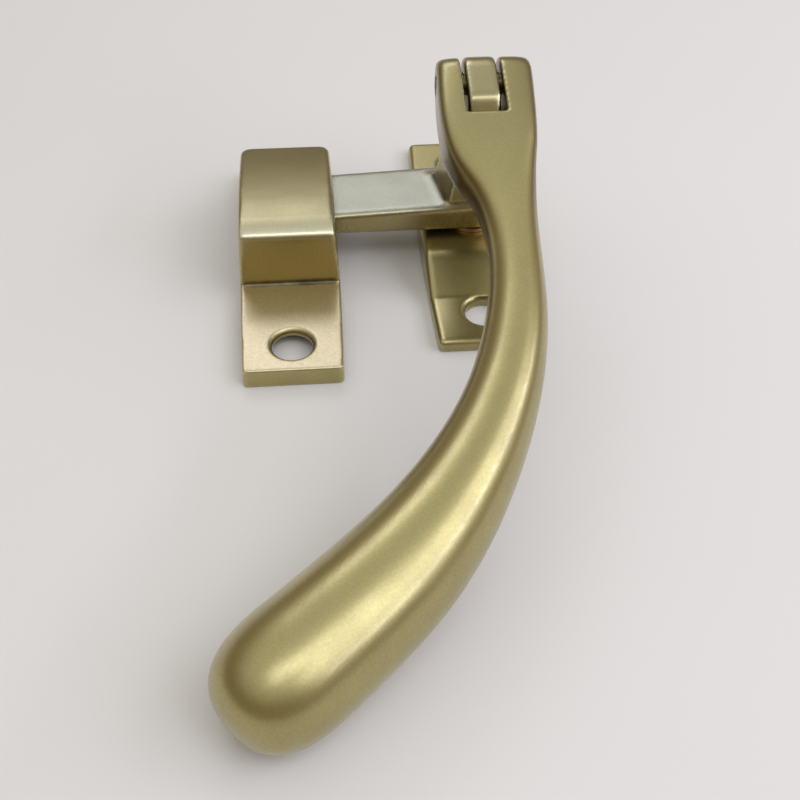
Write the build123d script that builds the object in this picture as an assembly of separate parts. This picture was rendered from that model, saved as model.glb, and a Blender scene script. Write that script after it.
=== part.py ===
"""Casement window fastener with a bulb-ended handle, lying on its mounting plane.

Frame: +X away from the keeper, +Y towards the handle's hinge, +Z out of the window.
The origin is where the pivot axis meets the mounting plane.
"""
from build123d import *
import math
import os

# ---- how far cutters reach past a face, and how near an edge has to be to count as found
OVERRUN = 1.0
NEAR = 0.1

# ---- keeper: a strap with a raised hook that the tongue turns into
KEEPER_X = -31.2
KEEPER_END_WIDTH = 15.6
KEEPER_BULGE = 0.5
KEEPER_DRAFT = 2.5
KEEPER_BLOCK_HEIGHT = 16.0
KEEPER_LENGTH = 54.6
KEEPER_END_Y = -33.2
STRAP_THICKNESS = 3.3
HOOK_FOOT_LENGTH = 20.25
HOOK_LENGTH = 25.3
HOOK_SLOT_HEIGHT = 10.3
HOOK_WALL = 3.6
# The crowned front of the hook: distance from its wall, and height.
HOOK_CROWN = [(0, 12.9), (2, 13.8), (5, 14.15), (11, 14.1), (18, 13.6), (HOOK_LENGTH, 12.6)]
KEEPER_HOLE_INSET = 6.0
KEEPER_FAR_HOLE_INSET = 5.4
HOOK_EDGE_RADIUS = 0.8
HOOK_ROOT_RADIUS = 0.4
HOOK_CORNER_RADIUS = 1.8
KEEPER_CORNER_RADIUS = 0.8
KEEPER_RELIEF = 1.8
KEEPER_RIM = 2.2
KEEPER_RELIEF_LENGTH = 10.4
KEEPER_RELIEF_CORNER = 2.0

# ---- countersunk screw holes, for a No. 6 wood screw
SCREW_HOLE_RADIUS = 3.2
COUNTERSINK_RADIUS = 3.75
COUNTERSINK_DEPTH = 0.6

# ---- base plate on the sash
BASE_LENGTH = 55.0
BASE_END_WIDTH = 16.4
BASE_BULGE = 0.7
BASE_FOOT = 2.1
BASE_HUMP = 5.4
HUMP_LENGTH = 33.6
HUMP_TOP_LENGTH = 19.5
HUMP_BLEND_RADIUS = 6.0
BASE_HOLE_SPACING = 40.4
BASE_RECESS_RADIUS = 6.2
BASE_WEB = 2.3
BASE_EDGE_RADIUS = 1.0
BASE_CORNER_RADIUS = 1.0

# ---- pivot stack
SPINDLE_RADIUS = 3.4
RUNNING_GAP = 0.05
FRICTION_WASHER_RADIUS = 4.4
FRICTION_WASHER_THICKNESS = 0.8
PIVOT_SCREW_RADIUS = 2.0
PIVOT_SCREW_LENGTH = 9.0
PIVOT_SCREW_SPARE = 1.0
PIVOT_HEAD_RADIUS = 3.6
PIVOT_HEAD_HEIGHT = 1.3
DRIVER_SLOT_WIDTH = 0.8
DRIVER_SLOT_DEPTH = 0.6
RETAINING_WASHER_RADIUS = 5.4
RETAINING_WASHER_THICKNESS = 0.7
SPRING_WASHER_RADIUS = 3.5
SPRING_WASHER_THICKNESS = 0.7
SPRING_WASHER_SPLIT = 0.6

# ---- latch arm: tongue, hub and knuckle in one casting
TONGUE_TIP_X = -36.2
TONGUE_LOW_Y = -4.6
TONGUE_HIGH_Y = 7.7
TONGUE_BACK_Z = BASE_HUMP + FRICTION_WASHER_THICKNESS
TONGUE_TIP_Z = 9.5
TONGUE_ROOT_Z = 10.9
TONGUE_EDGE_RADIUS = 0.9
POST_LEFT_X = -5.4
POST_RIGHT_X = 3.2
POST_BACK_Y = 5.0
POST_SKEW = 0.8
POST_FLARE = 2.1
POST_FLARE_HEIGHT = 0.7
POST_ROOT_SINK = 0.3
POST_BACK_FLARE = 1.0
POST_SHOULDER_LEFT = 2.45
POST_SHOULDER_RIGHT = 4.2
POST_SHOULDER_Z = 24.0
KNUCKLE_X = -0.1
KNUCKLE_WIDTH = 5.0
KNUCKLE_RADIUS = 4.2
KNUCKLE_FACE_END = 6.4
KNUCKLE_REACH = 8.7
KNUCKLE_DEPTH = 2.7
KNUCKLE_BEND_RADIUS = 2.0

# ---- hinge between knuckle and handle
HINGE_Y = 1.0
HINGE_Z = 30.5
HANDLE_SLOPE = 13.9
HINGE_PIN_RADIUS = 1.6
HINGE_PIN_X = 0.6
HINGE_PIN_LENGTH = 14.2
FORK_SLOT_WIDTH = 6.15
FORK_SLOT_END = 9.3

# Sections of the handle along its length, from the fork's tip to the bulb: distance from the
# hinge, sideways offset, half width, half thickness, squareness (2 is an ellipse).
HANDLE_SECTIONS = [
    (0.0, 0.65, 7.5, 4.1, 6.0),
    (-13.0, 0.2, 7.05, 4.1, 6.0),
    (-15.5, 0.3, 6.7, 4.05, 5.0),
    (-18.5, 0.65, 5.97, 4.0, 4.0),
    (-21.0, 1.0, 5.25, 3.95, 3.3),
    (-25.5, 1.36, 4.33, 3.9, 2.7),
    (-33.5, 1.45, 3.86, 3.95, 2.25),
    (-45.0, 0.2, 4.37, 4.4, 2.1),
    (-57.1, -3.4, 5.17, 5.17, 2.05),
    (-69.5, -10.0, 6.48, 6.48, 2.0),
    (-80.8, -19.25, 7.8, 7.8, 2.0),
    (-91.1, -31.2, 8.35, 8.35, 2.0),
]
BULB_END_LENGTH = 11.2
BULB_END_SQUARENESS = 2.6
BULB_END_STEPS = (0.35, 0.6, 0.8, 0.91, 0.97, 0.995)
FORK_TIP_STEPS = (0.97, 0.88, 0.7, 0.4)
FORK_TIP_NARROWING = 0.6
SECTION_POINTS = 36


def cylinder_up(radius, low_z, high_z, x=0.0, y=0.0):
    """A cylinder along Z between two heights."""
    height = high_z - low_z
    return Pos(x, y, low_z + height / 2) * Cylinder(radius, height)


def box_between(low, high):
    """A box from its low corner to its high corner."""
    size = [b - a for a, b in zip(low, high)]
    middle = [(a + b) / 2 for a, b in zip(low, high)]
    return Pos(*middle) * Box(*size)


def countersunk_hole(x, y, face_z):
    """The cutter for one countersunk screw hole through a plate on the mounting plane."""
    shank = cylinder_up(SCREW_HOLE_RADIUS, -OVERRUN, face_z + OVERRUN, x, y)
    cone_z = face_z - COUNTERSINK_DEPTH / 2
    cone = Pos(x, y, cone_z) * Cone(SCREW_HOLE_RADIUS, COUNTERSINK_RADIUS, COUNTERSINK_DEPTH)
    return shank + cone


def edges_inside(edges, low, high):
    """The edges whose middles lie in a box."""
    chosen = []
    for edge in edges:
        middle = edge.center()
        inside = [a <= value <= b for a, value, b in zip(low, middle, high)]
        if all(inside):
            chosen.append(edge)
    return chosen


def keeper():
    """The strap, its wall and its crowned front plate, open towards +Y for the tongue."""
    wide = KEEPER_END_WIDTH / 2 + KEEPER_BULGE + OVERRUN
    left = KEEPER_X - wide
    right = KEEPER_X + wide
    end_y = KEEPER_END_Y + KEEPER_LENGTH
    wall_y = KEEPER_END_Y + HOOK_FOOT_LENGTH
    inner_y = wall_y + HOOK_WALL
    hook_y = wall_y + HOOK_LENGTH
    crown = [(wall_y + reach, height) for reach, height in HOOK_CROWN]
    below = [
        crown[0],
        (wall_y, STRAP_THICKNESS),
        (KEEPER_END_Y, STRAP_THICKNESS),
        (KEEPER_END_Y, 0),
        (end_y, 0),
        (end_y, STRAP_THICKNESS),
        (inner_y, STRAP_THICKNESS),
        (inner_y, HOOK_SLOT_HEIGHT),
        (hook_y, HOOK_SLOT_HEIGHT),
        crown[-1],
    ]
    side = Plane(origin=(left, 0, 0), x_dir=(0, 1, 0), z_dir=(1, 0, 0))
    outline = make_face([Spline(*crown), Polyline(*below)])
    body = extrude(side * outline, right - left)
    body &= keeper_sides()
    low = (left, hook_y - 2 * NEAR, HOOK_SLOT_HEIGHT + NEAR)
    high = (right, hook_y + NEAR, crown[-1][1] - NEAR)
    body = fillet(edges_inside(body.edges(), low, high), HOOK_CORNER_RADIUS)
    creases = [
        (wall_y, crown[0][1], HOOK_EDGE_RADIUS),
        (wall_y, STRAP_THICKNESS, HOOK_ROOT_RADIUS),
        (inner_y, STRAP_THICKNESS, HOOK_ROOT_RADIUS),
        (inner_y, HOOK_SLOT_HEIGHT, HOOK_ROOT_RADIUS),
    ]
    for y, z, radius in creases:
        low = (left, y - NEAR, z - NEAR)
        high = (right, y + NEAR, z + NEAR)
        body = fillet(edges_inside(body.edges().filter_by(Axis.X), low, high), radius)
    half_relief = KEEPER_RELIEF_LENGTH / 2
    inset = KEEPER_END_WIDTH / 2 - KEEPER_RIM
    first = KEEPER_END_Y + KEEPER_RIM + half_relief
    last = end_y - KEEPER_RIM - half_relief
    for hole_y in keeper_hole_places():
        shift = max(first, min(hole_y, last))
        low = (KEEPER_X - inset, shift - half_relief, -OVERRUN)
        high = (KEEPER_X + inset, shift + half_relief, KEEPER_RELIEF)
        pocket = box_between(low, high)
        body -= fillet(pocket.edges().filter_by(Axis.Z), KEEPER_RELIEF_CORNER)
        body -= countersunk_hole(KEEPER_X, hole_y, STRAP_THICKNESS)
    return body


def keeper_sides():
    """A block with the keeper's outline from above: bulging sides with the draft of a casting."""
    end = KEEPER_END_WIDTH / 2
    low = KEEPER_END_Y
    high = low + KEEPER_LENGTH
    middle = (low + high) / 2
    wide = end + KEEPER_BULGE
    right_side = ThreePointArc((KEEPER_X + end, low), (KEEPER_X + wide, middle), (KEEPER_X + end, high))
    left_side = ThreePointArc((KEEPER_X - end, high), (KEEPER_X - wide, middle), (KEEPER_X - end, low))
    top = Line((KEEPER_X + end, high), (KEEPER_X - end, high))
    bottom = Line((KEEPER_X - end, low), (KEEPER_X + end, low))
    outline = make_face([right_side, top, left_side, bottom])
    outline = fillet(outline.vertices(), KEEPER_CORNER_RADIUS)
    return extrude(outline, KEEPER_BLOCK_HEIGHT, taper=KEEPER_DRAFT)


def keeper_hole_places():
    """The Y of the keeper's two screw holes."""
    far_end = KEEPER_END_Y + KEEPER_LENGTH
    return KEEPER_END_Y + KEEPER_HOLE_INSET, far_end - KEEPER_FAR_HOLE_INSET


def base_plate():
    """A low barrel-shaped plate with a foot at each end and a raised middle."""
    half = BASE_LENGTH / 2
    end = BASE_END_WIDTH / 2
    wide = end + BASE_BULGE
    right_side = ThreePointArc((end, -half), (wide, 0), (end, half))
    left_side = ThreePointArc((-end, half), (-wide, 0), (-end, -half))
    top = Line((end, half), (-end, half))
    bottom = Line((-end, -half), (end, -half))
    outline = make_face([right_side, top, left_side, bottom])
    barrel = extrude(outline, BASE_HUMP)
    barrel = fillet(barrel.edges().filter_by(Axis.Z), BASE_CORNER_RADIUS)
    ramp = HUMP_LENGTH / 2
    flat = HUMP_TOP_LENGTH / 2
    profile = [
        (-half, 0),
        (half, 0),
        (half, BASE_FOOT),
        (ramp, BASE_FOOT),
        (flat, BASE_HUMP),
        (-flat, BASE_HUMP),
        (-ramp, BASE_FOOT),
        (-half, BASE_FOOT),
    ]
    side = Plane(origin=(-wide - OVERRUN, 0, 0), x_dir=(0, 1, 0), z_dir=(1, 0, 0))
    ridge = extrude(side * make_face(Polyline(*profile, close=True)), 2 * (wide + OVERRUN))
    creases = [e for e in ridge.edges().filter_by(Axis.X) if abs(abs(e.center().Y) - flat) < NEAR]
    ridge = fillet(creases, HUMP_BLEND_RADIUS)
    body = barrel & ridge
    rim = [e for e in body.edges() if e.center().Z > BASE_FOOT - NEAR and is_outer(e, end, half)]
    body = fillet(rim, BASE_EDGE_RADIUS)
    body -= cylinder_up(BASE_RECESS_RADIUS, -OVERRUN, BASE_HUMP - BASE_WEB)
    body -= cylinder_up(SPINDLE_RADIUS + RUNNING_GAP, 0, BASE_HUMP + OVERRUN)
    for hole_y in (-BASE_HOLE_SPACING / 2, BASE_HOLE_SPACING / 2):
        body -= countersunk_hole(0, hole_y, BASE_FOOT)
    return body


def is_outer(edge, half_width, half_length):
    """True for an edge that runs along the plate's outline."""
    beside = all(abs(v.X) > half_width - BASE_CORNER_RADIUS / 2 for v in edge.vertices())
    return beside or abs(edge.center().Y) > half_length - 2 * BASE_CORNER_RADIUS


def friction_washer():
    """The washer that spaces the hub off the base."""
    low = BASE_HUMP + RUNNING_GAP
    high = TONGUE_BACK_Z - RUNNING_GAP
    disc = cylinder_up(FRICTION_WASHER_RADIUS, low, high)
    return disc - cylinder_up(SPINDLE_RADIUS + RUNNING_GAP, low - OVERRUN, high + OVERRUN)


def latch_arm():
    """Tongue, hub, post, knuckle and spindle."""
    low, high = TONGUE_LOW_Y, TONGUE_HIGH_Y
    radius = (high - low) / 2
    middle = (low + high) / 2
    plan = make_face(
        [
            Polyline((0, low), (TONGUE_TIP_X, low), (TONGUE_TIP_X, high), (0, high)),
            ThreePointArc((0, high), (radius, middle), (0, low)),
        ]
    )
    arm = extrude(Plane.XY.offset(TONGUE_BACK_Z) * plan, TONGUE_ROOT_Z)
    slope = (TONGUE_ROOT_Z - TONGUE_TIP_Z) / (POST_LEFT_X - TONGUE_TIP_X)
    far_x = radius + OVERRUN
    far_z = TONGUE_TIP_Z + slope * (far_x - TONGUE_TIP_X)
    wedge = [
        (TONGUE_TIP_X, TONGUE_BACK_Z),
        (far_x, TONGUE_BACK_Z),
        (far_x, far_z),
        (TONGUE_TIP_X, TONGUE_TIP_Z),
    ]
    side = Plane(origin=(0, high + OVERRUN, 0), x_dir=(1, 0, 0), z_dir=(0, -1, 0))
    arm &= extrude(side * make_face(Polyline(*wedge, close=True)), high - low + 2 * OVERRUN)
    half_way = (TONGUE_BACK_Z + TONGUE_TIP_Z) / 2
    front = [e for e in arm.edges() if e.center().Z > half_way and e.length > radius]
    arm = fillet(front, TONGUE_EDGE_RADIUS)
    arm += post()
    knuckle = Cylinder(KNUCKLE_RADIUS, KNUCKLE_WIDTH)
    neck_low = (KNUCKLE_X - KNUCKLE_WIDTH / 2, HINGE_Y - KNUCKLE_RADIUS, POST_SHOULDER_Z)
    neck_high = (KNUCKLE_X + KNUCKLE_WIDTH / 2, HINGE_Y + KNUCKLE_RADIUS, HINGE_Z)
    arm += box_between(neck_low, neck_high)
    arm += across_hinge(KNUCKLE_X) * knuckle
    arm += handle_plane().location * knuckle_face()
    spindle_end = BASE_HUMP - BASE_WEB - RUNNING_GAP
    arm += cylinder_up(SPINDLE_RADIUS, spindle_end, TONGUE_BACK_Z + OVERRUN)
    bore = Cylinder(HINGE_PIN_RADIUS + RUNNING_GAP, KNUCKLE_WIDTH + 2 * OVERRUN)
    arm -= across_hinge(KNUCKLE_X) * bore
    arm -= cylinder_up(PIVOT_SCREW_RADIUS, spindle_end - OVERRUN, spindle_end + PIVOT_SCREW_LENGTH)
    return arm


def knuckle_face():
    """The knuckle's flat front and the slope that fills the slot below it, on the XY plane."""
    slope_end = KNUCKLE_RADIUS - (KNUCKLE_REACH - KNUCKLE_FACE_END)
    outline = [
        (0, KNUCKLE_RADIUS),
        (-KNUCKLE_FACE_END, KNUCKLE_RADIUS),
        (-KNUCKLE_REACH, slope_end),
        (-KNUCKLE_REACH, -KNUCKLE_DEPTH),
        (0, -KNUCKLE_DEPTH),
    ]
    side = Plane(origin=(KNUCKLE_X - KNUCKLE_WIDTH / 2, 0, 0), x_dir=(0, 1, 0), z_dir=(1, 0, 0))
    block = extrude(side * make_face(Polyline(*outline, close=True)), KNUCKLE_WIDTH)
    low = (-KNUCKLE_WIDTH, -KNUCKLE_FACE_END - NEAR, KNUCKLE_RADIUS - NEAR)
    high = (KNUCKLE_WIDTH, -KNUCKLE_FACE_END + NEAR, KNUCKLE_RADIUS + NEAR)
    return fillet(edges_inside(block.edges(), low, high), KNUCKLE_BEND_RADIUS)


def across_hinge(x):
    """A place on the hinge's axis for something that lies along it."""
    return Pos(x, HINGE_Y, HINGE_Z) * Rot(0, 90, 0)


def post():
    """The tapering post from its flared root on the hub up to the shoulder under the knuckle."""
    root_z = TONGUE_ROOT_Z - POST_ROOT_SINK
    waist_z = root_z + POST_FLARE_HEIGHT
    front_y = TONGUE_LOW_Y + TONGUE_EDGE_RADIUS
    root_left = POST_LEFT_X - POST_FLARE
    root_back = POST_BACK_Y + POST_BACK_FLARE
    root = post_section(root_left, POST_RIGHT_X, front_y, root_back, POST_SKEW)
    waist = post_section(POST_LEFT_X, POST_RIGHT_X, front_y, POST_BACK_Y, POST_SKEW)
    left = KNUCKLE_X - POST_SHOULDER_LEFT
    right = KNUCKLE_X + POST_SHOULDER_RIGHT
    low_y = HINGE_Y - KNUCKLE_RADIUS
    high_y = HINGE_Y + KNUCKLE_RADIUS
    shoulder = post_section(left, right, low_y, high_y, 0)
    foot_z = TONGUE_BACK_Z + OVERRUN
    levels = [(foot_z, root), (root_z, root), (waist_z, waist), (POST_SHOULDER_Z, shoulder)]
    return loft([Plane.XY.offset(z) * section for z, section in levels], ruled=True)


def post_section(left, right, low_y, high_y, skew):
    """A four-sided section of the post whose left side leans by the skew."""
    corners = [(left - skew, high_y), (left + skew, low_y), (right, low_y), (right, high_y)]
    return make_face(Polyline(*corners, close=True))


def stack_z():
    """The heights of the pivot stack under the web, from the web down."""
    washer_top = BASE_HUMP - BASE_WEB - RUNNING_GAP
    washer_low = washer_top - RETAINING_WASHER_THICKNESS
    spring_low = washer_low - SPRING_WASHER_THICKNESS
    head_low = spring_low - PIVOT_HEAD_HEIGHT
    return washer_top, washer_low, spring_low, head_low


def retaining_washer():
    """The plain washer that holds the spindle in the web's bore."""
    top, low = stack_z()[:2]
    disc = cylinder_up(RETAINING_WASHER_RADIUS, low, top)
    return disc - cylinder_up(PIVOT_SCREW_RADIUS + RUNNING_GAP, low - OVERRUN, top + OVERRUN)


def spring_washer():
    """A split lock washer under the screw's head."""
    top, low = stack_z()[1:3]
    ring = cylinder_up(SPRING_WASHER_RADIUS, low, top)
    ring -= cylinder_up(PIVOT_SCREW_RADIUS + RUNNING_GAP, low - OVERRUN, top + OVERRUN)
    cut_low = (0, -SPRING_WASHER_SPLIT / 2, low - OVERRUN)
    cut_high = (SPRING_WASHER_RADIUS + OVERRUN, SPRING_WASHER_SPLIT / 2, top + OVERRUN)
    return ring - box_between(cut_low, cut_high)


def pivot_screw():
    """The slotted screw that goes into the spindle from behind."""
    head_top, head_low = stack_z()[2:4]
    screw = cylinder_up(PIVOT_HEAD_RADIUS, head_low, head_top)
    shank_top = stack_z()[0] + PIVOT_SCREW_LENGTH - PIVOT_SCREW_SPARE
    screw += cylinder_up(PIVOT_SCREW_RADIUS, head_top, shank_top)
    slot_low = (-PIVOT_HEAD_RADIUS, -DRIVER_SLOT_WIDTH / 2, head_low - OVERRUN)
    slot_high = (PIVOT_HEAD_RADIUS, DRIVER_SLOT_WIDTH / 2, head_low + DRIVER_SLOT_DEPTH)
    return screw - box_between(slot_low, slot_high)


def handle_plane():
    """The sloping middle plane of the handle, with its origin on the hinge."""
    tilt = math.radians(HANDLE_SLOPE)
    normal = (0, -math.sin(tilt), math.cos(tilt))
    return Plane(origin=(0, HINGE_Y, HINGE_Z), x_dir=(1, 0, 0), z_dir=normal)


def section_wire(frame, half_width, half_thickness, squareness):
    """A closed super-ellipse in a section plane."""
    points = []
    for i in range(SECTION_POINTS):
        angle = 2 * math.pi * i / SECTION_POINTS
        c = math.cos(angle)
        s = math.sin(angle)
        reach = (abs(c) ** squareness + abs(s) ** squareness) ** (-1 / squareness)
        points.append((half_width * reach * c, half_thickness * reach * s))
    wire = Wire(Spline(*points, periodic=True))
    return frame * Face(wire)


def handle():
    """Fork, neck, curved grip and bulb in one casting."""
    middle = handle_plane()
    line = [middle.from_local_coords((x, v, 0)) for v, x, *_ in HANDLE_SECTIONS]
    route = Spline(*line)
    across = middle.z_dir
    faces = []
    for step in FORK_TIP_STEPS:
        _, x, wide, thick, square = HANDLE_SECTIONS[0]
        thin = math.sqrt(1 - step**2)
        place = middle.from_local_coords((x, thick * step, 0))
        frame = Plane(place, x_dir=(1, 0, 0), z_dir=-middle.y_dir)
        faces.append(section_wire(frame, wide - FORK_TIP_NARROWING * (1 - thin), thick * thin, square))
    for point, (_, _, wide, thick, square) in zip(line, HANDLE_SECTIONS):
        along = route.tangent_at(route.param_at_point(point))
        frame = Plane(point, x_dir=across.cross(along), z_dir=along)
        faces.append(section_wire(frame, wide, thick, square))
    along = route % 1
    _, _, wide, thick, square = HANDLE_SECTIONS[-1]
    for step in BULB_END_STEPS:
        shrink = (1 - step**BULB_END_SQUARENESS) ** (1 / BULB_END_SQUARENESS)
        place = line[-1] + along * (BULB_END_LENGTH * step)
        frame = Plane(place, x_dir=across.cross(along), z_dir=along)
        faces.append(section_wire(frame, wide * shrink, thick * shrink, square))
    body = loft(faces)
    slot_top = HANDLE_SECTIONS[0][3] + OVERRUN
    slot_low = (KNUCKLE_X - FORK_SLOT_WIDTH / 2, -FORK_SLOT_END, -slot_top)
    slot_high = (KNUCKLE_X + FORK_SLOT_WIDTH / 2, slot_top, slot_top)
    body -= middle.location * box_between(slot_low, slot_high)
    body -= across_hinge(HINGE_PIN_X) * Cylinder(HINGE_PIN_RADIUS, HINGE_PIN_LENGTH + 4 * OVERRUN)
    return body


def hinge_pin():
    """The pin that is pressed into the fork and turns in the knuckle."""
    return across_hinge(HINGE_PIN_X) * Cylinder(HINGE_PIN_RADIUS, HINGE_PIN_LENGTH)


def main():
    """Write one STEP file for each piece."""
    os.makedirs("parts", exist_ok=True)
    pieces = {
        "keeper": keeper(),
        "base_plate": base_plate(),
        "friction_washer": friction_washer(),
        "latch_arm": latch_arm(),
        "retaining_washer": retaining_washer(),
        "spring_washer": spring_washer(),
        "pivot_screw": pivot_screw(),
        "handle": handle(),
        "hinge_pin": hinge_pin(),
    }
    for name, piece in pieces.items():
        box = piece.bounding_box()
        print(name, round(piece.volume, 1), box.min, box.max)
        export_step(piece, f"parts/{name}.step")


main()
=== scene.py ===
"""Casement window fastener in satin brass on a plain pale floor.

The keeper, the base plate and the arm are rebuilt from the frame's solids with soft cast edges, and
the handle from its own sections. The washers, the pin and the screw stay the frame's own nodes. All
sizes are in metres, apart from the handle's, which are in millimetres up to its last step.
"""
import bmesh
import bpy
import math
import numpy as np
from mathutils import Matrix, Vector


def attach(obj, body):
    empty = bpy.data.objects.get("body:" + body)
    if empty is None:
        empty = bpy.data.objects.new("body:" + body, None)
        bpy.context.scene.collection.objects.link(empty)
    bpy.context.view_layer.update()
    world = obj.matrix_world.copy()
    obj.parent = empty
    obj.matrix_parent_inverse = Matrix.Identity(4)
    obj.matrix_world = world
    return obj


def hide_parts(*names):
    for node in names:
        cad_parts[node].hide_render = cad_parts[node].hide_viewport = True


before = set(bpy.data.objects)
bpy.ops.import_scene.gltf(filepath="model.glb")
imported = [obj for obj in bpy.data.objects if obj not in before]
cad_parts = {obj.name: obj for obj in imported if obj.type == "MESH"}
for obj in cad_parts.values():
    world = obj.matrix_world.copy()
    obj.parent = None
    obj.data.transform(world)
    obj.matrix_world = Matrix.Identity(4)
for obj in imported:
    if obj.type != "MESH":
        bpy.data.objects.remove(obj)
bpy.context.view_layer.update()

MM = 0.001

# ---- camera
CAMERA_PLACE = Vector((-27.7, -163.22, 131.96)) * MM
CAMERA_TILT = math.radians(43.78)
CAMERA_YAW = math.radians(-5.66)
CAMERA_ROLL = math.radians(1.18)
CAMERA_LENS = 54.0
CAMERA_SENSOR = 36.0
CAMERA_NEAREST = 0.01

# ---- castings: voxel size, smoothing passes all over, then passes only where the shape is soft
CASTINGS = {
    "keeper": {"voxel": 0.23 * MM, "passes": 8, "soft_passes": 34},
    "base_plate": {"voxel": 0.23 * MM, "passes": 8, "soft_passes": 0},
    "latch_arm": {"voxel": 0.22 * MM, "passes": 36, "soft_passes": 0},
    "handle": {"voxel": 0.27 * MM, "passes": 8, "soft_passes": 24},
}
SMOOTH_FACTOR = 0.5
WELD_GAP = 0.001 * MM

# Where the extra smoothing acts: the grip below the fork, and the front of the keeper's hook. The
# pair holds the heights where it starts and where it is full.
GRIP_START_Y = -10.0 * MM
GRIP_FULL_Y = -20.0 * MM
HOOK_SOFT_Z = (8.5 * MM, 11.5 * MM)
LEAST_WEIGHT = 0.001

# ---- handle, in millimetres: the hinge, the slope of its middle plane, and its sections as in the
# CAD part: distance from the hinge, sideways offset, half width, half thickness, squareness.
HINGE = Vector((0.0, 1.0, 30.5))
HANDLE_SLOPE = math.radians(13.9)
HANDLE_SECTIONS = [
    (0.0, 0.65, 7.5, 4.1, 6.0),
    (-13.0, 0.2, 7.05, 4.1, 6.0),
    (-15.5, 0.3, 6.7, 4.05, 5.0),
    (-18.5, 0.65, 5.97, 4.0, 4.0),
    (-21.0, 1.0, 5.25, 3.95, 3.3),
    (-25.5, 1.36, 4.33, 3.9, 2.7),
    (-33.5, 1.45, 3.86, 3.95, 2.25),
    (-45.0, 0.2, 4.37, 4.4, 2.1),
    (-57.1, -3.4, 5.17, 5.17, 2.05),
    (-69.5, -10.0, 6.48, 6.48, 2.0),
    (-80.8, -19.25, 7.8, 7.8, 2.0),
    (-91.1, -31.2, 8.35, 8.35, 2.0),
]
BULB_END_LENGTH = 11.2
BULB_END_SQUARENESS = 2.6
FORK_TIP_NARROWING = 0.6
SLOT_X = -0.1
SLOT_WIDTH = 6.15
SLOT_END = 9.3
SLOT_DEPTH = 30.0
PIN_RADIUS = 1.6
PIN_HOLE_LENGTH = 40.0
PIN_HOLE_SIDES = 64
RINGS_ALONG = 220
RINGS_AT_END = 24
POINTS_ROUND = 96
THINNEST_TIP = 0.02
THINNEST_BULB = 0.004

# ---- worn edges and painted crease shade: how strongly a bend in the surface counts as an edge or a crease, per metre of curvature
EDGE_CURVATURE = 1500.0
ROUND_CURVATURE = 320.0
CREASE_CURVATURE = 300.0
SHALLOW_CURVATURE = 120.0
BEND_SPREAD = 3
LEAST_SQUARE = 1e-14

# ---- colours of the metals: the plain one, the dark one for the grain's pits and for painted shade in creases, and the one on worn edges
BRASS = (0.435, 0.378, 0.159)
BASE_BRASS = (0.385, 0.335, 0.14)
BRASS_DEEP = (0.15, 0.11, 0.035)
BRASS_BRIGHT = (0.62, 0.57, 0.33)
PALE_BRASS = (0.38, 0.335, 0.165)
PALE_DEEP = (0.18, 0.15, 0.07)
PALE_BRIGHT = (0.66, 0.64, 0.48)
BRONZE = (0.42, 0.26, 0.13)
BRONZE_DEEP = (0.16, 0.09, 0.045)
ZINC = (0.50, 0.50, 0.49)
ZINC_DEEP = (0.22, 0.22, 0.21)

# ---- colours of places, all painted light: painted shade towards the hinge and on the hook, painted shade on upright sides, a painted reflection of the light above on upward faces, and a painted highlight on the hook's lip
HINGE_SHADE_BRASS = (0.33, 0.285, 0.12)
HOOK_SHADE_BRASS = (0.285, 0.252, 0.118)
HANDLE_SIDE = (0.165, 0.118, 0.028)
KEEPER_SIDE = (0.345, 0.27, 0.095)
ARM_SIDE = (0.32, 0.262, 0.11)
FOOT_TOP = (0.60, 0.52, 0.32)
TONGUE_TOP = (0.335, 0.34, 0.262)
LIP_HIGHLIGHT = (0.70, 0.67, 0.47)

# ---- where those places are; a pair holds where the tone starts and where it is full
BACK_SHADE_Y = (-24.0 * MM, -6.0 * MM)
HANDLE_SIDE_Y = -32.0 * MM
KEEPER_SIDE_Y = -31.0 * MM
SIDE_FADE = 8.0 * MM
FOOT_TOP_Z = 4.0 * MM
TONGUE_TOP_Z = 12.0 * MM
TOP_FADE = 1.5 * MM
LIP_Y = (-12.6 * MM, -9.0 * MM)
LIP_Z = (9.0 * MM, 11.5 * MM)

# ---- how far a face looks up, as the upward part of its normal: for sides, tops and the lip
SIDE_FACING = (0.4, 0.85)
TOP_FACING = (0.55, 0.95)
LIP_FACING = (0.25, 0.6)

# ---- roughness of the metals, and what each place adds to it
CAST_ROUGHNESS = 0.34
ARM_ROUGHNESS = 0.30
PIN_ROUGHNESS = 0.36
BRONZE_ROUGHNESS = 0.42
ZINC_ROUGHNESS = 0.38
UNEVEN_ROUGHNESS = 0.03
TOP_ROUGHNESS = 0.08
WORN_ROUGHNESS = -0.06
CREASE_ROUGHNESS = 0.25
LACQUER = 0.6
LACQUER_ROUGHNESS = 0.2

# ---- patterns in the metal, in features per metre, with their strengths
CLOUD_SCALE = 180.0
CREASE_PATCH_SCALE = 260.0
EDGE_PATCH_SCALE = 900.0
GRAIN_SCALE = 3200.0
BRUSH_SCALE = 5200.0
CLOUD_TONE = 0.93
GRAIN_TONE = 0.16
# how dark the painted shade in creases is, as a share of the dark colour
CREASE_SHADE = 0.4
GRAIN_HEIGHT = 0.006 * MM
GRAIN_STRENGTH = 0.8
BRUSH_HEIGHT = 0.003 * MM
BRUSH_STRENGTH = 0.35
BRUSH_ALONG_Y = (1.0, 0.06, 1.0)
BRUSH_ALONG_X = (0.06, 1.0, 1.0)

# ---- floor: two near tones of pale paper on a square just under the mounting plane
PAPER = (0.705, 0.687, 0.645)
PAPER_DIM = (0.69, 0.672, 0.63)
PAPER_ROUGHNESS = 0.9
PAPER_SHINE = 0.1
PAPER_CLOUD_SCALE = 9.0
PAPER_GRAIN_SCALE = 2500.0
PAPER_GRAIN_HEIGHT = 0.01 * MM
PAPER_GRAIN_STRENGTH = 0.2
FLOOR_HALF = 1.5
FLOOR_Z = -0.02 * MM

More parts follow.
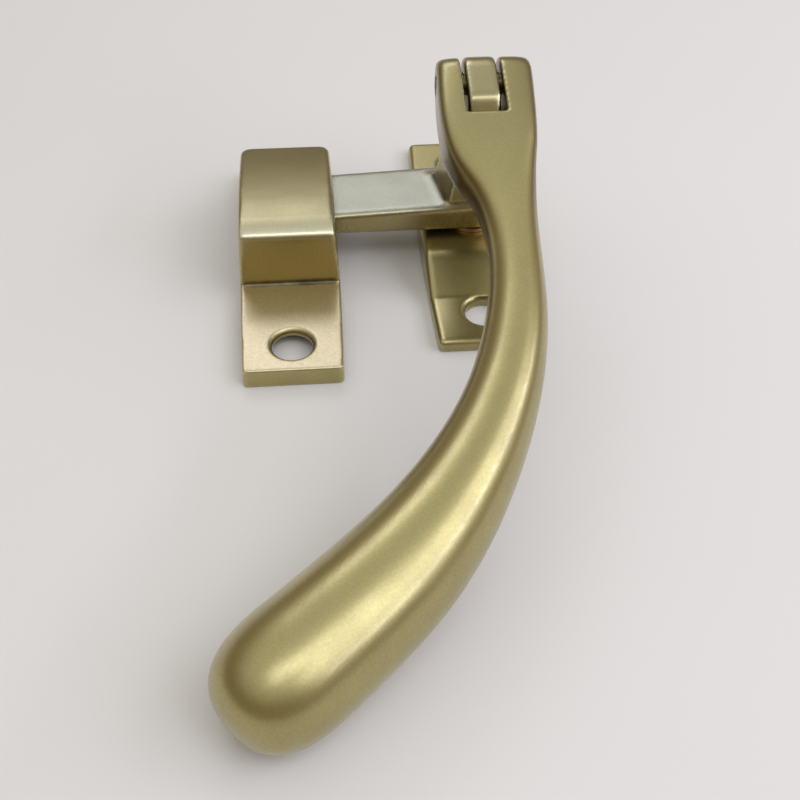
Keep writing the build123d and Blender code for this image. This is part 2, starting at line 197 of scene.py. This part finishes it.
# ---- lights: name, azimuth, elevation, distance, width, height, power and colour
COOL_WHITE = (0.99, 1.0, 1.17)
COLD_WHITE = (0.96, 1.0, 1.3)
LIGHTS = [
    ("key", 112.0, 46.0, 0.60, 0.70, 0.22, 0.95, COOL_WHITE),
    ("strip", 105.0, 28.0, 0.60, 0.70, 0.06, 0.85, COLD_WHITE),
    ("front", 166.0, 66.0, 0.60, 0.46, 0.20, 0.6, COOL_WHITE),
    ("back", -10.0, 43.0, 0.70, 0.36, 0.22, 0.53, COOL_WHITE),
]
LIGHT_AIM = Vector((-0.012, -0.035, 0.01))

# ---- dome: the heights between which it goes from dim to bright
DOME_LOW = 0.30
DOME_HIGH = 0.85
DOME_DIM = (0.30, 0.24, 0.165, 1.0)
DOME_BRIGHT = (0.78, 0.78, 0.765, 1.0)


def new_object(name, mesh):
    """An object in the scene for a mesh."""
    thing = bpy.data.objects.new(name, mesh)
    bpy.context.scene.collection.objects.link(thing)
    return thing


def apply_modifiers(thing):
    """Turn the object's modifiers into its mesh."""
    graph = bpy.context.evaluated_depsgraph_get()
    mesh = bpy.data.meshes.new_from_object(thing.evaluated_get(graph))
    old = thing.data
    thing.modifiers.clear()
    thing.data = mesh
    bpy.data.meshes.remove(old)


def vertex_places(mesh):
    """The vertices as rows of x, y, z."""
    flat = np.zeros(len(mesh.vertices) * 3)
    mesh.vertices.foreach_get("co", flat)
    return flat.reshape(-1, 3)


def smoothstep(values, start, end):
    """0 before start, 1 after end, and a soft step between."""
    t = np.clip((values - start) / (end - start), 0.0, 1.0)
    return t * t * (3.0 - 2.0 * t)


def soft_weights(node, places):
    """How much each vertex takes part in the extra smoothing."""
    if node == "handle":
        return smoothstep(-places[:, 1], -GRIP_START_Y, -GRIP_FULL_Y)
    return smoothstep(places[:, 2], *HOOK_SOFT_Z)


def natural_spline(knots, values, wanted):
    """A natural cubic spline through columns of values, read at the wanted places."""
    count = len(knots)
    gap = np.diff(knots)
    rows = np.eye(count)
    right = np.zeros((count, values.shape[1]))
    for i in range(1, count - 1):
        rows[i, i - 1 : i + 2] = gap[i - 1], 2 * (gap[i - 1] + gap[i]), gap[i]
        rise = (values[i + 1] - values[i]) / gap[i] - (values[i] - values[i - 1]) / gap[i - 1]
        right[i] = 6 * rise
    bend = np.linalg.solve(rows, right)
    at = np.clip(np.searchsorted(knots, wanted, side="right") - 1, 0, count - 2)
    h = gap[at][:, None]
    a = (knots[at + 1] - wanted)[:, None] / h
    b = 1 - a
    curved = ((a**3 - a) * bend[at] + (b**3 - b) * bend[at + 1]) * h**2 / 6
    return a * values[at] + b * values[at + 1] + curved


def ring(centre, side, up, half_width, half_thickness, squareness):
    """Points of a super-ellipse round a centre."""
    angle = np.linspace(0, 2 * math.pi, POINTS_ROUND, endpoint=False)
    c = np.cos(angle)
    s = np.sin(angle)
    reach = (np.abs(c) ** squareness + np.abs(s) ** squareness) ** (-1 / squareness)
    across = (half_width * reach * c)[:, None] * side
    return centre + across + (half_thickness * reach * s)[:, None] * up


def handle_rings():
    """The handle's sections from the fork's tip to the bulb's end, in its sloping middle plane."""
    table = np.array(HANDLE_SECTIONS)
    knots = -table[:, 0]
    up = np.array((0.0, 0.0, 1.0))
    across = np.array((1.0, 0.0, 0.0))
    rings = []
    _, offset, width, thickness, squareness = table[0]
    for angle in np.linspace(0.5 * math.pi, 0, RINGS_AT_END, endpoint=False):
        thin = max(math.cos(angle), THINNEST_TIP)
        centre = np.array((offset, thickness * math.sin(angle), 0.0))
        tip_width = width - FORK_TIP_NARROWING * (1 - thin)
        rings.append(ring(centre, across, up, tip_width, thickness * thin, squareness))
    places = np.linspace(knots[0], knots[-1], RINGS_ALONG)
    rows = natural_spline(knots, table[:, 1:], places)
    line = np.column_stack((rows[:, 0], -places, np.zeros(len(places))))
    along = np.gradient(line, axis=0)
    along /= np.linalg.norm(along, axis=1)[:, None]
    for centre, way, row in zip(line, along, rows):
        rings.append(ring(centre, np.cross(up, way), up, *row[1:]))
    way = along[-1]
    _, width, thickness, squareness = rows[-1]
    for angle in np.linspace(0, 0.5 * math.pi, RINGS_AT_END + 1)[1:]:
        step = math.sin(angle)
        shrink = max((1 - step**BULB_END_SQUARENESS) ** (1 / BULB_END_SQUARENESS), THINNEST_BULB)
        centre = line[-1] + way * BULB_END_LENGTH * step
        rings.append(ring(centre, np.cross(up, way), up, width * shrink, thickness * shrink, squareness))
    return rings


def handle_skin():
    """The handle as one smooth closed skin through its sections."""
    rings = handle_rings()
    points = np.concatenate(rings)
    faces = []
    for i in range(len(rings) - 1):
        for j in range(POINTS_ROUND):
            k = (j + 1) % POINTS_ROUND
            low = i * POINTS_ROUND
            high = low + POINTS_ROUND
            faces.append((low + j, low + k, high + k, high + j))
    faces.append(tuple(range(POINTS_ROUND))[::-1])
    faces.append(tuple(range(len(points) - POINTS_ROUND, len(points))))
    mesh = bpy.data.meshes.new("handle_cast")
    mesh.from_pydata(points.tolist(), [], faces)
    return new_object("handle_skin", mesh)


def fork_cutter():
    """A block for the fork's slot and a rod for the hole of the hinge pin."""
    shape = bmesh.new()
    size = Matrix.Diagonal((SLOT_WIDTH, 2 * SLOT_END, SLOT_DEPTH, 1.0))
    bmesh.ops.create_cube(shape, size=1.0, matrix=Matrix.Translation((SLOT_X, 0, 0)) @ size)
    sideways = Matrix.Rotation(math.radians(90), 4, "Y")
    bmesh.ops.create_cone(shape, cap_ends=True, segments=PIN_HOLE_SIDES, radius1=PIN_RADIUS,
                          radius2=PIN_RADIUS, depth=PIN_HOLE_LENGTH, matrix=sideways)
    mesh = bpy.data.meshes.new("fork_cutter")
    shape.to_mesh(mesh)
    shape.free()
    return new_object("fork_cutter", mesh)


def handle_mesh():
    """The handle's skin with its slot and its pin hole cut, brought to its place in metres."""
    body = handle_skin()
    cutter = fork_cutter()
    cut = body.modifiers.new("cut", "BOOLEAN")
    cut.operation = "DIFFERENCE"
    cut.solver = "EXACT"
    cut.use_self = True
    cut.object = cutter
    apply_modifiers(body)
    mesh = body.data
    bpy.data.objects.remove(body)
    bpy.data.objects.remove(cutter)
    place = Matrix.Translation(HINGE) @ Matrix.Rotation(HANDLE_SLOPE, 4, "X")
    mesh.transform(Matrix.Scale(MM, 4) @ place)
    return mesh


def casting(node, settings):
    """A soft-edged casting that takes a CAD node's place."""
    mesh = handle_mesh() if node == "handle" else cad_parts[node].data.copy()
    mesh.materials.clear()
    piece = new_object(node + "_cast", mesh)
    weld = piece.modifiers.new("weld", "WELD")
    weld.merge_threshold = WELD_GAP
    remesh = piece.modifiers.new("remesh", "REMESH")
    remesh.mode = "VOXEL"
    remesh.voxel_size = settings["voxel"]
    apply_modifiers(piece)
    smooth = piece.modifiers.new("smooth", "SMOOTH")
    smooth.factor = SMOOTH_FACTOR
    smooth.iterations = settings["passes"]
    if settings["soft_passes"]:
        group = piece.vertex_groups.new(name="soft")
        weights = soft_weights(node, vertex_places(piece.data))
        for index in np.nonzero(weights > LEAST_WEIGHT)[0]:
            group.add([int(index)], float(weights[index]), "REPLACE")
        softer = piece.modifiers.new("softer", "SMOOTH")
        softer.factor = SMOOTH_FACTOR
        softer.iterations = settings["soft_passes"]
        softer.vertex_group = "soft"
    apply_modifiers(piece)
    piece.data.shade_smooth()
    add_bend_masks(piece.data)
    return piece


def add_bend_masks(mesh):
    """Store where the surface bends outwards (edge) and inwards (crease), from 0 to 1."""
    places = vertex_places(mesh)
    count = len(mesh.vertices)
    normals = np.zeros(count * 3)
    mesh.vertex_normals.foreach_get("vector", normals)
    normals = normals.reshape(-1, 3)
    pairs = np.zeros(len(mesh.edges) * 2, dtype=np.int64)
    mesh.edges.foreach_get("vertices", pairs)
    a, b = pairs.reshape(-1, 2).T
    step = places[b] - places[a]
    square = np.maximum((step**2).sum(axis=1), LEAST_SQUARE)
    bend = ((normals[b] - normals[a]) * step).sum(axis=1) / square
    share = np.bincount(a, minlength=count) + np.bincount(b, minlength=count)
    share = np.maximum(share, 1)
    curve = (np.bincount(a, bend, count) + np.bincount(b, bend, count)) / share
    for _ in range(BEND_SPREAD):
        around = np.bincount(a, curve[b], count) + np.bincount(b, curve[a], count)
        curve = 0.5 * curve + 0.5 * around / share
    bends = {
        "edge": (curve - ROUND_CURVATURE) / EDGE_CURVATURE,
        "crease": (-curve - SHALLOW_CURVATURE) / CREASE_CURVATURE,
    }
    for name, amount in bends.items():
        layer = mesh.attributes.new(name, "FLOAT", "POINT")
        values = np.clip(amount, 0.0, 1.0)
        layer.data.foreach_set("value", values.astype(np.float32))


class Nodes:
    """A material's node tree, with short ways to add and join nodes."""

    def __init__(self, name):
        self.material = bpy.data.materials.new(name)
        self.material.use_nodes = True
        self.tree = self.material.node_tree
        self.shader = self.tree.nodes["Principled BSDF"]

    def add(self, kind, settings=None, inputs=None):
        node = self.tree.nodes.new(kind)
        for key, value in (settings or {}).items():
            setattr(node, key, value)
        for key, value in (inputs or {}).items():
            if isinstance(value, bpy.types.NodeSocket):
                self.tree.links.new(value, node.inputs[key])
            else:
                node.inputs[key].default_value = value
        return node

    def place(self, stretch=(1.0, 1.0, 1.0)):
        """Object coordinates, squeezed along an axis to draw a pattern out."""
        here = self.add("ShaderNodeTexCoord").outputs["Object"]
        scaled = self.add("ShaderNodeMapping", inputs={"Vector": here, "Scale": stretch})
        return scaled.outputs["Vector"]

    def noise(self, scale, detail=2.0, roughness=0.5, stretch=(1.0, 1.0, 1.0)):
        """Noise from about 0 to 1, with scale in features per metre."""
        inputs = {"Vector": self.place(stretch), "Scale": scale, "Detail": detail, "Roughness": roughness}
        return self.add("ShaderNodeTexNoise", inputs=inputs).outputs["Fac"]

    def attribute(self, name):
        return self.add("ShaderNodeAttribute", {"attribute_name": name}).outputs["Fac"]

    def range(self, value, low, high, out_low, out_high):
        inputs = {"Value": value, "From Min": low, "From Max": high, "To Min": out_low, "To Max": out_high}
        return self.add("ShaderNodeMapRange", inputs=inputs).outputs["Result"]

    def math(self, operation, first, second):
        node = self.add("ShaderNodeMath", {"operation": operation}, {0: first, 1: second})
        return node.outputs["Value"]

    def mix(self, amount, first, second, blend="MIX"):
        """Two colours mixed by an amount."""
        settings = {"data_type": "RGBA", "blend_type": blend}
        node = self.add("ShaderNodeMix", settings, {0: amount, 6: first, 7: second})
        return node.outputs[2]

    def bump(self, height, distance, strength, normal=None):
        inputs = {"Height": height, "Distance": distance, "Strength": strength}
        if normal is not None:
            inputs["Normal"] = normal
        return self.add("ShaderNodeBump", inputs=inputs).outputs["Normal"]

    def finish(self, **sockets):
        """Join or set the shader's sockets and hand over the material."""
        for key, value in sockets.items():
            socket = self.shader.inputs[key.replace("_", " ")]
            if isinstance(value, bpy.types.NodeSocket):
                self.tree.links.new(value, socket)
            else:
                socket.default_value = value
        return self.material


class Metal(Nodes):
    """Cast metal whose tone and roughness are laid on layer by layer."""

    def __init__(self, name, colour, roughness):
        super().__init__(name)
        clouds = self.noise(CLOUD_SCALE, 3.0)
        patches = self.range(clouds, 0.35, 0.65, 0.0, 1.0)
        dimmer = [CLOUD_TONE * c for c in colour]
        self.tone = self.mix(patches, (*colour, 1.0), (*dimmer, 1.0))
        low = roughness - UNEVEN_ROUGHNESS
        self.rough = self.range(clouds, 0.3, 0.7, low, roughness + UNEVEN_ROUGHNESS)
        facing = self.add("ShaderNodeTexCoord").outputs["Normal"]
        self.up = self.add("ShaderNodeSeparateXYZ", inputs={0: facing}).outputs["Z"]
        here = self.add("ShaderNodeSeparateXYZ", inputs={0: self.place()})
        self.y = here.outputs["Y"]
        self.z = here.outputs["Z"]

    def both(self, first, second):
        """Two amounts multiplied."""
        return self.math("MULTIPLY", first, second)

    def lay(self, amount, colour, roughness=None):
        """Cover the tone with a colour by an amount, and add to the roughness by that amount."""
        self.tone = self.mix(amount, self.tone, (*colour, 1.0))
        if roughness is not None:
            self.rough = self.math("ADD", self.rough, self.both(amount, roughness))

    def paint_back_shade(self, colour):
        """Painted shade: a darker tone towards +Y, towards the hinge on the handle and onto the hook on
        the keeper.
        """
        self.lay(self.range(self.y, *BACK_SHADE_Y, 0.0, 1.0), colour)

    def paint_side_shade(self, colour, start_y=None):
        """Painted shade: a darker tone on upright faces, from start_y on or all over."""
        upright = self.range(self.math("ABSOLUTE", self.up, 0.0), *SIDE_FACING, 1.0, 0.0)
        if start_y is not None:
            upright = self.both(upright, self.range(self.y, start_y, start_y + SIDE_FADE, 0.0, 1.0))
        self.lay(upright, colour)

    def paint_top_reflection(self, colour, highest):
        """A tone painted as reflection of the light above on faces that look up and lie no higher than
        this; it also adds roughness there.
        """
        rubbed = self.range(self.up, *TOP_FACING, 0.0, 1.0)
        low = self.range(self.z, highest, highest + TOP_FADE, 1.0, 0.0)
        self.lay(self.both(rubbed, low), colour, TOP_ROUGHNESS)

    def paint_lip_highlight(self, colour):
        """A painted highlight on the front edge of the hook."""
        front = self.range(self.y, *LIP_Y, 1.0, 0.0)
        high = self.range(self.z, *LIP_Z, 0.0, 1.0)
        facing = self.range(self.up, *LIP_FACING, 0.0, 1.0)
        self.lay(self.both(self.both(front, high), facing), colour)

    def wear_and_crease_shade(self, deep, bright):
        """Worn bright edges, and painted shade darkening the creases, both uneven."""
        patches = self.range(self.noise(EDGE_PATCH_SCALE, 2.0), 0.3, 0.65, 0.45, 1.0)
        self.lay(self.both(self.attribute("edge"), patches), bright, WORN_ROUGHNESS)
        # painted shade in the creases
        uneven = self.range(self.noise(CREASE_PATCH_SCALE, 2.0), 0.35, 0.65, 0.5, 0.92)
        dark = [CREASE_SHADE * c for c in deep]
        self.lay(self.both(self.attribute("crease"), uneven), dark, CREASE_ROUGHNESS)

    def complete(self, deep, bright=None, brush=None):
        """The fine grain, then worn edges, painted crease shade and lacquer where there is a bright tone,
        and brush lines.
        """
        grain = self.noise(GRAIN_SCALE, 3.0, 0.6)
        self.lay(self.range(grain, 0.35, 0.65, 0.0, GRAIN_TONE), deep)
        uneven = self.range(grain, 0.3, 0.7, -UNEVEN_ROUGHNESS, UNEVEN_ROUGHNESS)
        self.rough = self.math("ADD", self.rough, uneven)
        if bright is not None:
            self.wear_and_crease_shade(deep, bright)
            self.finish(Coat_Weight=LACQUER, Coat_Roughness=LACQUER_ROUGHNESS)
        normal = self.bump(grain, GRAIN_HEIGHT, GRAIN_STRENGTH)
        if brush is not None:
            lines = self.noise(BRUSH_SCALE, 2.0, 0.6, brush)
            normal = self.bump(lines, BRUSH_HEIGHT, BRUSH_STRENGTH, normal)
        return self.finish(Base_Color=self.tone, Metallic=1.0, Roughness=self.rough, Normal=normal)


def handle_material():
    """Satin brass with painted shade towards the fork, and painted shade on its upright sides there."""
    metal = Metal("brass_handle", BRASS, CAST_ROUGHNESS)
    metal.paint_back_shade(HINGE_SHADE_BRASS)
    metal.paint_side_shade(HANDLE_SIDE, HANDLE_SIDE_Y)
    return metal.complete(BRASS_DEEP, BRASS_BRIGHT)


def keeper_material():
    """Satin brass with painted shade on the hook and on upright sides, a painted highlight on the lip and
    a paler painted reflection on the feet.
    """
    metal = Metal("brass_keeper", BRASS, CAST_ROUGHNESS)
    metal.paint_back_shade(HOOK_SHADE_BRASS)
    metal.paint_side_shade(KEEPER_SIDE, KEEPER_SIDE_Y)
    metal.paint_top_reflection(FOOT_TOP, FOOT_TOP_Z)
    metal.paint_lip_highlight(LIP_HIGHLIGHT)
    return metal.complete(BRASS_DEEP, BRASS_BRIGHT, BRUSH_ALONG_Y)


def base_material():
    """Satin brass, brushed along the plate."""
    metal = Metal("brass_base", BASE_BRASS, CAST_ROUGHNESS)
    return metal.complete(BRASS_DEEP, BRASS_BRIGHT, BRUSH_ALONG_Y)


def arm_material():
    """Paler brass, with painted shade on its upright sides and a greyer painted reflection on the tongue's
    top.
    """
    metal = Metal("brass_arm", PALE_BRASS, ARM_ROUGHNESS)
    metal.paint_side_shade(ARM_SIDE)
    metal.paint_top_reflection(TONGUE_TOP, TONGUE_TOP_Z)
    return metal.complete(PALE_DEEP, PALE_BRIGHT, BRUSH_ALONG_X)


def floor_material():
    """Matt pale paper."""
    m = Nodes("pale_paper")
    clouds = m.noise(PAPER_CLOUD_SCALE, 2.0)
    tone = m.mix(m.range(clouds, 0.3, 0.7, 0.0, 1.0), (*PAPER, 1.0), (*PAPER_DIM, 1.0))
    normal = m.bump(m.noise(PAPER_GRAIN_SCALE), PAPER_GRAIN_HEIGHT, PAPER_GRAIN_STRENGTH)
    return m.finish(Base_Color=tone, Roughness=PAPER_ROUGHNESS, Specular_IOR_Level=PAPER_SHINE,
                    Normal=normal)


def floor():
    """A wide flat floor just under the mounting plane."""
    sides = [(-1, -1), (1, -1), (1, 1), (-1, 1)]
    corners = [(FLOOR_HALF * x, FLOOR_HALF * y, FLOOR_Z) for x, y in sides]
    mesh = bpy.data.meshes.new("floor")
    mesh.from_pydata(corners, [], [(0, 1, 2, 3)])
    sheet = new_object("floor", mesh)
    mesh.materials.append(floor_material())


def direction(azimuth, elevation):
    """Unit vector: azimuth 0 is +Y and 90 is +X, elevation above the floor."""
    a = math.radians(azimuth)
    e = math.radians(elevation)
    return Vector((math.sin(a) * math.cos(e), math.cos(a) * math.cos(e), math.sin(e)))


def softbox(name, azimuth, elevation, distance, width, height, power, colour):
    """A rectangular soft light that faces the object."""
    light = bpy.data.lights.new(name, "AREA")
    light.shape = "RECTANGLE"
    light.size = width
    light.size_y = height
    light.energy = power
    light.color = colour
    lamp = new_object(name, light)
    way = direction(azimuth, elevation)
    lamp.location = LIGHT_AIM + distance * way
    lamp.rotation_euler = way.to_track_quat("Z", "Y").to_euler()


def world_light():
    """A soft dome: bright overhead, dim and warm low down."""
    world = bpy.data.worlds.new("studio")
    world.use_nodes = True
    tree = world.node_tree
    where = tree.nodes.new("ShaderNodeTexCoord")
    apart = tree.nodes.new("ShaderNodeSeparateXYZ")
    tree.links.new(where.outputs["Generated"], apart.inputs[0])
    step = tree.nodes.new("ShaderNodeMapRange")
    step.interpolation_type = "SMOOTHSTEP"
    step.inputs["From Min"].default_value = DOME_LOW
    step.inputs["From Max"].default_value = DOME_HIGH
    tree.links.new(apart.outputs["Z"], step.inputs["Value"])
    blend = tree.nodes.new("ShaderNodeMix")
    blend.data_type = "RGBA"
    blend.inputs[6].default_value = DOME_DIM
    blend.inputs[7].default_value = DOME_BRIGHT
    tree.links.new(step.outputs["Result"], blend.inputs[0])
    tree.links.new(blend.outputs[2], tree.nodes["Background"].inputs["Color"])
    bpy.context.scene.world = world


def camera():
    """The camera, looking down on the fastener from beyond the bulb."""
    eye = bpy.data.cameras.new("camera")
    eye.lens = CAMERA_LENS
    eye.sensor_width = CAMERA_SENSOR
    eye.clip_start = CAMERA_NEAREST
    holder = new_object("camera", eye)
    turn = Matrix.Rotation(CAMERA_YAW, 4, "Z") @ Matrix.Rotation(CAMERA_TILT, 4, "X")
    turn = turn @ Matrix.Rotation(CAMERA_ROLL, 4, "Z")
    holder.matrix_world = Matrix.Translation(CAMERA_PLACE) @ turn
    bpy.context.scene.camera = holder


materials = {
    "handle": handle_material(),
    "keeper": keeper_material(),
    "base_plate": base_material(),
    "latch_arm": arm_material(),
}
bodies = {"keeper": "window", "base_plate": "window", "latch_arm": "arm", "handle": "handle"}

for node, settings in CASTINGS.items():
    piece = casting(node, settings)
    piece.data.materials.append(materials[node])
    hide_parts(node)
    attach(piece, bodies[node])

pin_brass = Metal("brass_pin", PALE_BRASS, PIN_ROUGHNESS).complete(PALE_DEEP)
bronze = Metal("bronze_washer", BRONZE, BRONZE_ROUGHNESS).complete(BRONZE_DEEP)
zinc = Metal("zinc_steel", ZINC, ZINC_ROUGHNESS).complete(ZINC_DEEP)
small = {
    "hinge_pin": pin_brass,
    "friction_washer": bronze,
    "retaining_washer": zinc,
    "spring_washer": zinc,
    "pivot_screw": zinc,
}
for node, material in small.items():
    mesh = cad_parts[node].data
    mesh.materials.clear()
    mesh.materials.append(material)

floor()
world_light()
for light in LIGHTS:
    softbox(*light)
camera()
bpy.context.scene.view_settings.view_transform = "Standard"
